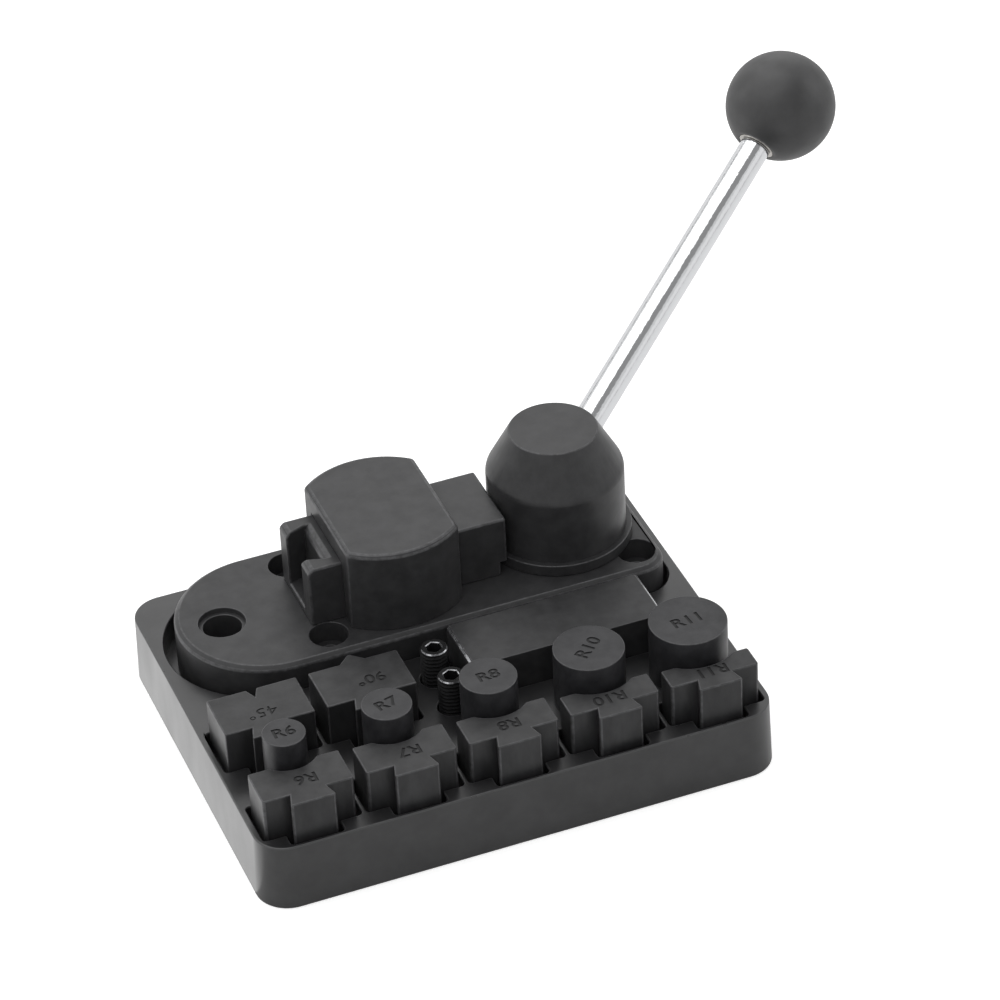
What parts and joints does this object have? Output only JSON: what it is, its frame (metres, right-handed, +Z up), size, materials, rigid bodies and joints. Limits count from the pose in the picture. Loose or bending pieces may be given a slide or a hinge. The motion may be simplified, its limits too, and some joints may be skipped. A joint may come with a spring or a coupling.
{
  "type": "hand lever ring and strip bending machine",
  "caption": "Bench bending machine: a lever and eccentric hub push a guided ram with swappable dies against round punches; the loose tools sit in a tray.",
  "frame": {"origin": "centre of the tray's flat bottom face", "axes": "+X along the machine from the punch seat to the hub, +Y to the back of the tray, +Z up"},
  "size_m": [0.2342, 0.1654, 0.1297],
  "materials": {
    "moulded_plastic": "moulded black ABS, satin",
    "black_plate": "black oxide on milled steel, satin",
    "black_steel": "black oxide on milled steel, satin",
    "black_tool_steel": "black oxide on hardened steel, satin",
    "black_screws": "black oxide with bright worn rims",
    "chromed_steel": "polished chrome plate",
    "plated_insert": "turned and nickel plated",
    "phenolic_ball": "moulded black phenolic, polished",
    "bronze": "sintered bronze, oiled",
    "ground_steel": "ground steel",
    "spring_steel": "drawn spring wire"
  },
  "bodies": {
    "base": {"storage_tray": "moulded_plastic", "machine_plate": "black_plate", "guide_housing": "black_steel", "guide_housing_screws": "black_screws", "return_spring": "spring_steel", "spring_pin": "ground_steel", "pivot_bush": "bronze"},
    "ram": {"ram": "black_steel"},
    "lever": {"eccentric_hub": "black_steel", "pivot_shaft": "ground_steel", "retaining_washer": "ground_steel", "shaft_screw": "black_screws", "lever_rod": "chromed_steel", "knob_insert": "plated_insert", "ball_knob": "phenolic_ball"},
    "punch_r6": {"punch_r6": "black_tool_steel"},
    "punch_r7": {"punch_r7": "black_tool_steel"},
    "punch_r8": {"punch_r8": "black_tool_steel"},
    "punch_r10": {"punch_r10": "black_tool_steel"},
    "punch_r11": {"punch_r11": "black_tool_steel"},
    "die_r6": {"die_r6": "black_tool_steel"},
    "die_r7": {"die_r7": "black_tool_steel"},
    "die_r8": {"die_r8": "black_tool_steel"},
    "die_r10": {"die_r10": "black_tool_steel"},
    "die_r11": {"die_r11": "black_tool_steel"},
    "notch_die_45": {"notch_die_45": "black_tool_steel"},
    "nose_die_90": {"nose_die_90": "black_tool_steel"},
    "flat_block": {"flat_block": "black_tool_steel"},
    "set_screw_back": {"set_screw_back": "black_screws"},
    "set_screw_front": {"set_screw_front": "black_screws"}
  },
  "joints": [
    {"name": "lever_turn", "type": "hinge", "parent": "base", "child": "lever", "pos_m": [0.0429, 0.034, 0.0288], "axis": [0, 0, -1], "range_deg": [0, 90]},
    {"name": "ram_slide", "type": "slide", "parent": "base", "child": "ram", "axis": [-1, 0, 0], "range_m": [0, 0.0064], "stiffness_N_per_m": 600, "springref_m": -0.005, "deforming": ["return_spring"]},
    {"name": "punch_r6_lift", "type": "slide", "parent": "base", "child": "punch_r6", "axis": [0, 0, 1], "range_m": [0, 0.03]},
    {"name": "punch_r7_lift", "type": "slide", "parent": "base", "child": "punch_r7", "axis": [0, 0, 1], "range_m": [0, 0.03]},
    {"name": "punch_r8_lift", "type": "slide", "parent": "base", "child": "punch_r8", "axis": [0, 0, 1], "range_m": [0, 0.03]},
    {"name": "punch_r10_lift", "type": "slide", "parent": "base", "child": "punch_r10", "axis": [0, 0, 1], "range_m": [0, 0.03]},
    {"name": "punch_r11_lift", "type": "slide", "parent": "base", "child": "punch_r11", "axis": [0, 0, 1], "range_m": [0, 0.03]},
    {"name": "die_r6_lift", "type": "slide", "parent": "base", "child": "die_r6", "axis": [0, 0, 1], "range_m": [0, 0.03]},
    {"name": "die_r7_lift", "type": "slide", "parent": "base", "child": "die_r7", "axis": [0, 0, 1], "range_m": [0, 0.03]},
    {"name": "die_r8_lift", "type": "slide", "parent": "base", "child": "die_r8", "axis": [0, 0, 1], "range_m": [0, 0.03]},
    {"name": "die_r10_lift", "type": "slide", "parent": "base", "child": "die_r10", "axis": [0, 0, 1], "range_m": [0, 0.03]},
    {"name": "die_r11_lift", "type": "slide", "parent": "base", "child": "die_r11", "axis": [0, 0, 1], "range_m": [0, 0.03]},
    {"name": "notch_die_45_lift", "type": "slide", "parent": "base", "child": "notch_die_45", "axis": [0, 0, 1], "range_m": [0, 0.03]},
    {"name": "nose_die_90_lift", "type": "slide", "parent": "base", "child": "nose_die_90", "axis": [0, 0, 1], "range_m": [0, 0.03]},
    {"name": "flat_block_lift", "type": "slide", "parent": "base", "child": "flat_block", "axis": [0, 0, 1], "range_m": [0, 0.03]},
    {"name": "set_screw_back_lift", "type": "slide", "parent": "base", "child": "set_screw_back", "axis": [0, 0, 1], "range_m": [0, 0.03]},
    {"name": "set_screw_front_lift", "type": "slide", "parent": "base", "child": "set_screw_front", "axis": [0, 0, 1], "range_m": [0, 0.03]}
  ],
  "couplings": [
    {"joint": "ram_slide", "follows": "lever_turn", "m_per_rad": 0.0040739}
  ]
}
